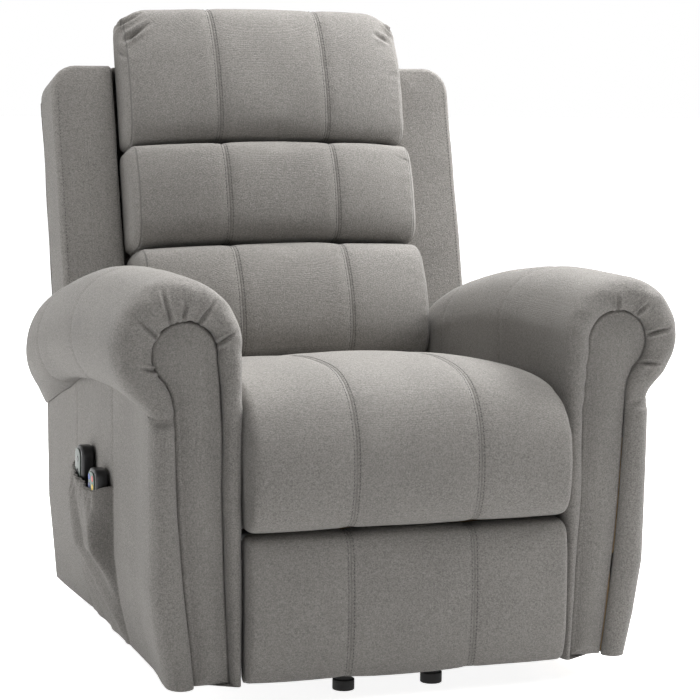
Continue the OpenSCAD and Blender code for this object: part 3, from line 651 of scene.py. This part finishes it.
for order, (label, half, outline) in enumerate(PILLOWS):
    loop = even(along_back(np.array(outline) * UNIT), 300)
    share = np.arange(300) / 300
    first = share[(outward(loop)[:, 0] < 0.55) & (share > 0.2)].min()
    cushion(label + "_pillow_cover", loop, half, "back", label + "_pillow", (first, 0.97),
            pillow_crown, seed=4.0 + order, gusset=0.004,
            creases=CORNER_PLEATS if label == "head" else (), finish=boxed_linen)

# Footrest: a foam pad in three panels, stapled round a board that folds out
# from under the seat.
FOOT_LINE = np.array([(-412.5, 44), (-412.5, 150), (-412.5, 256), (-420, 263), (-440, 261), (-455, 244),
                      (-461, 190), (-461, 110), (-456, 66), (-446, 46), (-424, 41.5)]) * UNIT
cushion("footrest_cover", even(FOOT_LINE, 260), 0.2542, "footrest", "footrest_pad", (0.43, 0.97), cap=0.008,
        edge=0.010, seed=9.0)

# Arms: each has one padded cover that runs up its inner face, over the roll
# and under it to a seam. In front the cover rolls in to the scroll panel, and
# its fullness is taken up there in pleats.
ROLL_X, ROLL_R, FRONT_Y, SEAM_Y, HEM_Z = 355, 98, -414, -420, 41
SCROLL_C, SCROLL_R = (343, 533), 50
UNDER = [(FRONT_Y, 436), (-396, 451), (-330, 463), (-261, 468), (-143, 468), (-38, 458), (72, 433), (150, 408),
         (230, 385), (340, 353), (358, 356), (390, 386)]


def roll_height(y):
    return 542 - 130 * np.maximum(0, (y + 300) / 685) ** 1.9


def roll_scale(y):
    return 1 - 58 / ROLL_R * np.maximum(0, (y - 150) / 235) ** 2


def under_roll(y):
    """Height of the seam under the roll, which dips at both ends."""
    return np.interp(y, *np.array(UNDER).T)


def roll_ring(y, wide=1.0, tall=1.0, legs=110, arcs=200, tails=30):
    """Section of an arm cover, up its inner face and round the roll."""
    high, size = roll_height(y), roll_scale(y)
    low = HEM_Z + 199 * ease((y + 264) / 30)
    low = low + (high - 55 * size - low) * ease((y - 222) / 34)
    leg = np.column_stack([np.full(legs, ROLL_X - ROLL_R * size), np.linspace(low, high, legs, endpoint=False)])
    stop = np.interp(y, [FRONT_Y, -330, -60, 60, 160, 388], [-50.9, -42, -42, -38, -22, -12])
    angle = np.radians(np.linspace(180, stop, arcs))
    across, up = ROLL_R * size * np.cos(angle), ROLL_R * size * np.sin(angle)
    arc = np.column_stack([ROLL_X + across * np.where(across > 0, wide, 1),
                           high + up * np.where(up > 0, tall, 1)])
    end, foot = arc[-1], np.array([396 - 7 * ease((y - FRONT_Y) / 90), under_roll(y)])
    ahead = (arc[-1] - arc[-2]) / np.linalg.norm(arc[-1] - arc[-2])
    t = np.linspace(0, 1, tails + 1)[1:, None]
    bow = end + ahead * np.linalg.norm(foot - end) * 0.45
    tail = (1 - t) ** 2 * end + 2 * t * (1 - t) * bow + t ** 2 * foot
    inside = np.array([foot + (-10, 4), (340, foot[1] + 16), (309, foot[1] - 4), (309, low)])
    return np.vstack([leg, arc, tail]), inside


def scroll_seam(legs=110, arcs=200, tails=30):
    """The seam of the scroll panel, point for point with an arm cover's section."""
    z = np.linspace(HEM_Z, 542, legs, endpoint=False)
    leg = np.column_stack([np.interp(z, [HEM_Z, 300, 430, 500, 533], [273, 285, 285, 289, 293]), z])
    leg[:, 1] -= 9 * ease((z - 400) / 140)
    angle = np.radians(np.linspace(180, -52, arcs))
    arc = np.column_stack([SCROLL_C[0] + SCROLL_R * np.cos(angle), SCROLL_C[1] + SCROLL_R * np.sin(angle)])
    tail = even([arc[-1], (365, 476), (360.5, 456), (360, 436)], tails + 1, closed=False)[1:]
    return np.vstack([leg, arc, tail])


def border_depth(s, tuck):
    """How far forward the padded border of an arm front stands, from the edge
    of the roll (0) to the seam of the scroll panel (1)."""
    out = math.sqrt(max(0, 1 - (2 * s - 1) ** 2)) * tuck
    return FRONT_Y - 25 * out if s < 0.5 else SEAM_Y - 19 * out + 6 * (1 - tuck)


def clear_of_wing(co):
    """Keeps an arm out of the wing's way, where the back turns past it."""
    depth = (co[:, 1] / 1000 - hinge[1]) * math.cos(LEAN) - (co[:, 2] / 1000 - hinge[2]) * math.sin(LEAN)
    w = ease((depth * 1000 - 18) / 15)
    return np.column_stack([co[:, 0] + w * np.maximum(0, 377.5 - co[:, 0]), co[:, 1], co[:, 2]])


def mirrored(rows, hand):
    return np.asarray(rows) * [hand * UNIT, UNIT, UNIT]


SOFT_ROWS, SOFT_REACH = 90, 16


def soften(rows):
    """Rounds an arm's front edge: each point is averaged with those before and
    behind it on its line, most on the outer side and not at the seam."""
    tip = rows[-SOFT_ROWS:]
    gap = np.linalg.norm(np.diff(tip, axis=0), axis=2)
    far = np.vstack([np.zeros(tip.shape[1]), np.cumsum(gap, axis=0)])
    share = (np.vstack([gap, gap[-1:]]) + np.vstack([gap[:1], gap])) / 2
    near = np.exp(-((far[:, None] - far[None]) / SOFT_REACH) ** 2 / 2) * share[None]
    mean = np.einsum("kji,jic->kic", near, tip) / near.sum(1)[..., None]
    keep = ease((far[-1] - far) / 26) * ease(far / 40) * ease((np.arange(tip.shape[1]) - 120) / 70)[None]
    keep[:, -4:] = 0
    rows[-SOFT_ROWS:] = tip + (mean - tip) * keep[..., None]
    return rows


ARM_PLEATS = {
    -1: [((172, 327), (161, 288)), ((161, 341), (134, 317)), ((197, 325), (217, 299)), ((217, 344), (241, 330)),
         ((160, 372), (138, 369)), ((183, 323), (186, 301))],
    1: [((618, 311), (618, 293)), ((637, 314), (650, 302)), ((648, 334), (674, 327)), ((641, 363), (663, 363)),
        ((626, 406), (644, 405))]}
CROSS_SEAMS = (-0.157, 0.098)


def seam_dip(co, fine, broad):
    """How far the cross seams of an arm draw its cloth in."""
    near = np.min([np.abs(co[:, 1] - s) for s in CROSS_SEAMS], axis=0)
    return 0.0016 * np.exp(-(near / fine) ** 2) + 0.001 * np.exp(-(near / broad) ** 2)


for hand, label, wide, tall in ((1, "left", 0.93, 0.91), (-1, "right", 1.0, 1.05)):
    rows = []
    for y in np.concatenate([np.linspace(378, 300, 20), np.linspace(295, -330, 126),
                             np.linspace(-334, FRONT_Y, 20)]):
        skin, inside = roll_ring(y, wide, tall)
        ring = np.vstack([skin, inside])
        rows.append(np.column_stack([ring[:, 0], np.full(len(ring), y), ring[:, 1]]))
    last = rows[0]
    middle = np.array([388, 0, last[:, 2].mean()])
    for t in np.linspace(0.2, 0.97, 8):
        shrunk = middle + (last - middle) * math.sqrt(1 - t * t)
        shrunk[:, 1] = 378 + 10 * t
        rows.insert(0, shrunk)
    skin, inside = roll_ring(FRONT_Y, wide, tall)
    seam = scroll_seam()
    tuck = 1 - 0.45 * np.exp(-(np.arange(len(skin))[::-1] / 4.0) ** 2)
    for s in (1 - np.cos(np.pi * np.arange(1, 49) / 48)) / 2:
        flat = skin * (1 - s) + seam * s
        rows.append(np.vstack([np.column_stack([flat[:, 0], border_depth(s, tuck), flat[:, 1]]),
                               np.column_stack([inside[:, 0], np.full(4, FRONT_Y + 2), inside[:, 1]])]))
    sunk = rows[-1].copy()
    sunk[:len(seam), 1] = -411
    rows = np.vstack([soften(np.array(rows)), sunk[None]])
    rows = [clear_of_wing(row) for row in rows]
    arm = loft(f"arm_cover_{label}", mirrored(rows, hand), linen, "chassis")
    co, no = points_of(arm), normals_of(arm)
    sag = ripple(co * [1, 0.7, 1], 0.13, 20 + hand) * 0.0022 + ripple(co, 0.045, 24 + hand) * 0.0006
    rim = np.exp(-((co[:, 1] + 0.432) / 0.016) ** 2) * (co[:, 2] > 0.42)
    sag += ripple(co, 0.022, 28 + hand) * 0.0022 * rim
    sag -= seam_dip(co, 0.0035, 0.011)
    move_points(arm, co + no * sag[:, None])
    for ends in ARM_PLEATS[hand]:
        crease(arm, ends, 0.0062, 0.0024)
    settle(arm)
    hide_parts(f"arm_roll_{label}", "arm_inner_pads", "arm_front_borders")


# Scroll panels: flat keyhole-shaped panels, lightly padded, set into the arm
# fronts inside the rolled cover.
def straight(points, count):
    """Even steps round a closed outline of straight lines."""
    ends = np.vstack([points, points[:1]])
    far = np.concatenate([[0], np.cumsum(np.linalg.norm(np.diff(ends, axis=0), axis=1))])
    at = np.linspace(0, far[-1], count, endpoint=False)
    return np.stack([np.interp(at, far, ends[:, k]) for k in (0, 1)], 1)


def crowned(name, outline, spine, put, thick, edge, crown, body, replaced):
    """A padded panel: its outline, the line along its middle, and put, which
    places a point of it that stands a given depth out of its seam."""
    fine = even(spine, 200, closed=False)
    middle = fine[np.argmin(np.linalg.norm(outline[:, None] - fine[None], axis=2), axis=1)]
    reach = np.linalg.norm(outline - middle, axis=1)[:, None]
    inward = (middle - outline) / np.maximum(reach, 1e-9)
    rows = [put(outline + inward * 3, -thick), put(outline, -thick + 2)]
    for phi in np.radians(np.linspace(0, 90, 14)):
        drawn_in = np.minimum(edge * (1 - math.cos(phi)), reach * 0.6)
        rows.append(put(outline + inward * drawn_in, edge * math.sin(phi)))
    start_at = np.minimum(edge, reach * 0.6)
    for f in np.linspace(0, 0.97, 24)[1:]:
        drawn_in = start_at + (reach - start_at) * f
        rows.append(put(outline + inward * drawn_in, edge + crown * (1 - (1 - f) ** 2)))
    piece = loft(name, np.array(rows), linen, body)
    modify(piece, "TRIANGULATE", min_vertices=5, ngon_method="BEAUTY")
    co, no = points_of(piece), normals_of(piece)
    move_points(piece, co + no * (ripple(co, 0.09, 31 + crown) * 0.0014)[:, None])
    settle(piece)
    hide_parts(replaced)
    return piece


for hand, label in SIDES:
    keyhole = straight(np.vstack([scroll_seam(), [(357, 360), (354, 300), (344, 180), (329, HEM_Z)]]), 440)
    crowned(f"arm_scroll_cover_{label}", keyhole, [(302, 66), (318, 250), (323, 400), (343, 533)],
            lambda p, d: mirrored(np.column_stack([p[:, 0], np.full(len(p), -413.5) - d, p[:, 1]]), hand),
            4, 9, 7, "chassis", "arm_scroll_panels")


# Side panels: cloth over a padded board, wrapped round a soft bolster at the
# front edge. Two upright seams part the middle of each panel from its ends.
PANEL_T = 11.5


def board_x(z, y=0.0):
    """How far out a panel stands: it tapers in to the floor, less at the rear."""
    rear = ease((y - 40) / 280)
    return (np.interp(z, [HEM_Z, 108, 190, 440], [360, 376, 388, 388])
            + rear * np.interp(z, [HEM_Z, 108, 190], [12, 2, -3]))


for hand, label in SIDES:
    rows = []
    for t in np.linspace(0, 1, 110):
        ring = []
        z = HEM_Z + t * (under_roll(FRONT_Y) + 8 - HEM_Z)
        tuck = 1 - 0.4 * ease((z - 426) / 10)
        seam_x = np.interp(z, [HEM_Z, 180, 300, 360, 445], [329, 344, 354, 357, 360])
        for s in (1 - np.cos(np.linspace(0, np.pi, 48))) / 2:
            ring.append((seam_x + (board_x(z) + 8 - seam_x) * s, border_depth(1 - s, tuck), z))
        for s in np.linspace(0, 1, 220)[1:]:
            top = under_roll(FRONT_Y + s * (354 - FRONT_Y)) + 8
            z = HEM_Z + t * (top - HEM_Z)
            y = FRONT_Y + s * (344 + 12 * t - FRONT_Y - 6)
            ring.append((board_x(z, y) + 8 * (1 - ease((y - FRONT_Y) / 120)), y, z))
        last = ring[-1]
        for phi in np.radians((30, 60, 90)):
            ring.append((last[0] - 6 + 6 * math.cos(phi), last[1] + 6 * math.sin(phi), last[2]))
        ring += [(last[0] - PANEL_T, last[1] + 5, last[2])]
        ring += [(board_x(last[2], y) - PANEL_T, y, last[2]) for y in (300, 200, 120, 40, -250)]
        rows.append(ring + [(ring[0][0] + 6, -410, ring[0][2])])
    panel = loft(f"arm_panel_cover_{label}", mirrored(rows, hand), linen, "chassis")
    co, no = points_of(panel), normals_of(panel)
    sag = ripple(co * [1, 1, 0.45], 0.10, 40 + hand) * 0.0022 + ripple(co * [1, 1, 0.4], 0.05, 44 + hand) * 0.0007
    sag -= seam_dip(co, 0.003, 0.010)
    move_points(panel, co + no * [1, 1, 0] * sag[:, None])
    settle(panel)
    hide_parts(f"arm_panel_{label}", "arm_front_borders")

# Wings: upholstered boards on both sides of the pillows, part of the back.
# A welt of the side cloth turns round the outer edge and is topstitched.
for hand, label in SIDES:
    corner = [(370 - 45 + 45 * math.sin(a), 602 + 45 * math.cos(a)) for a in np.radians(np.linspace(0, 90, 8))]
    board = np.array([(259.5, 136), (259.5, 641), (265, 646.5)] + corner + [(370, 136), (365, 131), (265, 131)])
    board = straight(board, 420)

    def stand(p, d):
        side = along_back(np.column_stack([np.full(len(p), 52.0) - d, p[:, 1]]) * UNIT)
        return np.column_stack([p[:, 0] * hand * UNIT, side])

    wing = crowned(f"wing_cover_{label}", board, [(314.5, 186), (314.5, 592)], stand, 89, 11, 3, "back",
                   "back_wings")
    line = np.column_stack([np.full(80, 360.0), np.linspace(140, 606, 80)])
    front = np.tile([0, -math.cos(LEAN), math.sin(LEAN)], (80, 1))
    sew(f"wing_stitching_{label}", [trace(tree_of(wing), stand(line, 14), front)], "back")

# Back panel: one stretched panel closes the back from behind, with a padded
# strip over its top edge between the wings.
half_w, low, high = 369.5, 20.5, 646.5
board = np.array([(-half_w, low + 12), (-half_w, high - 45), (-half_w + 13, high - 13), (-half_w + 45, high),
                  (half_w - 45, high), (half_w - 13, high - 13), (half_w, high - 45), (half_w, low + 12),
                  (half_w - 12, low), (-half_w + 12, low)])
board = straight(board, 560)


def behind(p, d):
    side = along_back(np.column_stack([np.full(len(p), 145.5) + d, p[:, 1]]) * UNIT)
    return np.column_stack([p[:, 0] * UNIT, side])


crowned("rear_panel_cover", board, [(-60, 333), (60, 333)], behind, 3, 3, 4, "back", "rear_cover")
bpy.ops.mesh.primitive_cube_add(size=1, location=(0, 0, 0), scale=(0.517, 0.083, 0.010))
strip = start("rear_top_strip", linen, "back")
bpy.ops.object.transform_apply(location=False, rotation=False, scale=True)
modify(strip, "BEVEL", width=0.004, segments=4)
strip.rotation_euler.x = -LEAN
mid = along_back(np.array([(101.5, 642)]) * UNIT)[0]
strip.location = (0, mid[0], mid[1])
settle(strip)
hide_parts("rear_cover")


# Rear skirt: a plain cloth hung between the arms to hide the mechanism from
# behind, hemmed along the floor edge.
def hang(name, rows, thick=0.0014):
    """A cloth sheet over a grid of points."""
    m, n = rows.shape[:2]
    k, i = np.meshgrid(np.arange(m - 1), np.arange(n - 1), indexing="ij")
    faces = np.stack([k * n + i, k * n + i + 1, (k + 1) * n + i + 1, (k + 1) * n + i], -1).reshape(-1, 4).tolist()
    made = cloth_mesh(name, rows.reshape(-1, 3).tolist(), faces, linen, "chassis", closed=False)
    modify(made, "SOLIDIFY", thickness=thick, offset=0)
    settle(made)
    return made


rows = []
for z in np.concatenate([[HEM_Z, 41.8, 45, 56, 60, 61], np.linspace(66, 246, 26)]):
    half_x = np.interp(z, [HEM_Z, 108, 190, 250], [347.5, 363.5, 375.5, 375.5])
    x = np.linspace(-half_x, half_x, 150)
    wave = 1.6 * np.sin(x / 37) * (1 - (z - HEM_Z) / 220) + (0.8 if 45 <= z <= 59 else 0)
    rows.append(np.column_stack([x, 334 - wave, np.full(150, z)]))
rows = np.array(rows) * UNIT
skirt = hang("rear_skirt_cloth", rows)
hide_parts("rear_skirt")

# Pocket: the middle of the right panel is left open below a gathered mouth
# on elastic, so its cloth hangs in folds from the mouth to the chair's hem.
PLAN = [(-162, -1.2), (-159, 0.3), (-156, 4), (-152, 12), (-147, 22), (-141, 29), (-132, 30.5), (-116, 30.5),
        (-96, 30), (-74, 30), (-54, 30.5), (-30, 31), (-8, 30), (6, 25), (30, 16), (60, 7.5), (85, 2),
        (100, -1.2)]
plan = even(PLAN, 170, closed=False)
panel_tree = tree_of(panel)


def panel_face(y, z):
    """Where the right panel's cloth lies."""
    hits = [panel_tree.ray_cast(Vector((-0.6, b * UNIT, c * UNIT)), Vector((1, 0, 0)))[0] for b, c in zip(y, z)]
    return np.array([hit.x / UNIT if hit else -388 for hit in hits])


MOUTH = np.interp(plan[:, 0], [-162, -152, -144, -132, -92, -48, -8, 40, 100],
                  [294, 291, 286, 284, 284, 290, 299, 303, 305])
rows = []
for v in np.concatenate([[-0.012, -0.006], np.linspace(0, 1, 80)]):
    z = MOUTH + (HEM_Z - MOUTH) * v
    loose = np.interp(z, [HEM_Z, 70, 100, 130, 160, 186, 300], [0.03, 0.12, 0.27, 0.48, 0.74, 1, 1])
    rib = np.sin(plan[:, 0] / 2.1 + 1.5 * np.sin(plan[:, 0] / 17)) * 1.6 * math.exp(-max(v, 0) / 0.11)
    slant = plan[:, 0] - 0.7 * (z - 290)
    fold = (np.sin(slant / 9.0) * 2.6 * math.exp(-max(v, 0) / 0.4)
            + np.sin(slant / 16 + 0.6) * 7.5 * np.sin(np.pi * np.clip(v, 0.02, 0.93)) ** 0.8)
    side = ease((plan[:, 0] + 162) / 26) * ease((100 - plan[:, 0]) / 20)
    out = plan[:, 1] * np.where(plan[:, 1] < 0, 1, loose) + (rib + np.maximum(fold, -2.0 - 8 * (z < 185))) * side
    out = np.maximum(out, np.where(side > 0.02, 0.4, -1.2)) - (2.5 if v < 0 else 0)
    rows.append(np.column_stack([panel_face(plan[:, 0], z) - out, plan[:, 0], z]))
rows = np.array(rows) * UNIT
pocket = hang("pocket_cloth", rows)
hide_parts("remote_pocket")

# Lift handset: a black moulded case with a grey-green face and two round
# buttons. It stands in the pocket with its face outwards.
gloss_black = Finish("handset_black")
fleck = gloss_black.speckle(800, 2)
gloss_black.set({"Base Color": gloss_black.tint(fleck, (0.006, 0.006, 0.007), (0.016, 0.016, 0.017)),
                 "Roughness": 0.26 + fleck * 0.14})
sage = Finish("handset_sage")
fleck = sage.speckle(800, 2)
sage.set({"Base Color": sage.tint(fleck, (0.10, 0.145, 0.115), (0.13, 0.18, 0.145)),
          "Roughness": 0.4 + fleck * 0.12})
silver = Finish("handset_silver", metallic=0.3)
fleck = silver.speckle(800, 2)
silver.set({"Base Color": silver.tint(fleck, (0.075, 0.092, 0.082), (0.10, 0.12, 0.107)),
            "Roughness": 0.34 + fleck * 0.12})


def moulding(name, node, finish, body, corner, rim):
    """A moulded block the size of a CAD node, its corners rounded along X."""
    low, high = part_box(node)
    size = high - low
    bpy.ops.mesh.primitive_cube_add(size=1, location=(low + high) / 2, scale=size)
    piece = start(name, finish, body)
    bpy.ops.object.transform_apply(location=False, rotation=False, scale=True)
    bpy.ops.object.mode_set(mode="EDIT")
    bpy.ops.mesh.select_mode(type="EDGE")
    bpy.ops.mesh.select_all(action="DESELECT")
    bpy.ops.object.mode_set(mode="OBJECT")
    for edge in piece.data.edges:
        a, b = (piece.data.vertices[v].co for v in edge.vertices)
        edge.select = abs(a.x - b.x) > size.x * 0.5
    bpy.ops.object.mode_set(mode="EDIT")
    bpy.ops.mesh.bevel(offset=corner, segments=10)
    bpy.ops.object.mode_set(mode="OBJECT")
    modify(piece, "BEVEL", width=rim, segments=4, limit_method="ANGLE", angle_limit=math.radians(60))
    settle(piece)
    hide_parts(node)
    return piece


def button(name, node, finish, body):
    """A round push button with a domed, rimmed cap, facing out of the pocket."""
    low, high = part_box(node)
    size, mid = high - low, (low + high) / 2
    bpy.ops.mesh.primitive_cylinder_add(vertices=32, radius=size.z / 2, depth=size.x, location=mid,
                                        rotation=(0, math.radians(-90), 0))
    piece = start(name, finish, body)
    select_faces(piece, lambda c, n: n.z > 0.9)
    bpy.ops.mesh.inset(thickness=size.z * 0.14)
    bpy.ops.transform.translate(value=(0.0003, 0, 0))
    bpy.ops.object.mode_set(mode="OBJECT")
    modify(piece, "BEVEL", width=size.x * 0.12, segments=3, limit_method="ANGLE", angle_limit=math.radians(40))
    settle(piece)
    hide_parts(node)
    return piece


moulding("lift_handset_shell", "lift_handset_case", gloss_black, "lift_handset", 0.017, 0.005)
moulding("lift_handset_plate", "lift_handset_face", silver, "lift_handset", 0.013, 0.0007)
for way in ("up", "down"):
    button(f"lift_{way}_cap", f"lift_{way}_button", gloss_black, f"lift_{way}_key")

# Massage handset: a thicker black case with a grey-green face and four small
# coloured keys, in the pocket in front of the lift handset.
moulding("massage_handset_shell", "massage_handset_case", gloss_black, "massage_handset",
         0.012, 0.004)
moulding("massage_handset_plate", "massage_handset_face", sage, "massage_handset", 0.009, 0.0007)
KEYS = {"red": (0.55, 0.02, 0.02), "yellow": (0.80, 0.52, 0.03), "blue": (0.02, 0.08, 0.42),
        "navy": (0.01, 0.03, 0.16)}
for colour, value in KEYS.items():
    cap = Finish(f"key_{colour}")
    fleck = cap.speckle(1500, 2)
    cap.set({"Base Color": cap.tint(fleck, value, tuple(c * 1.15 for c in value)),
             "Roughness": 0.3 + fleck * 0.15})
    button(f"massage_{colour}_cap", f"massage_keys_{colour}", cap, f"{colour}_key")
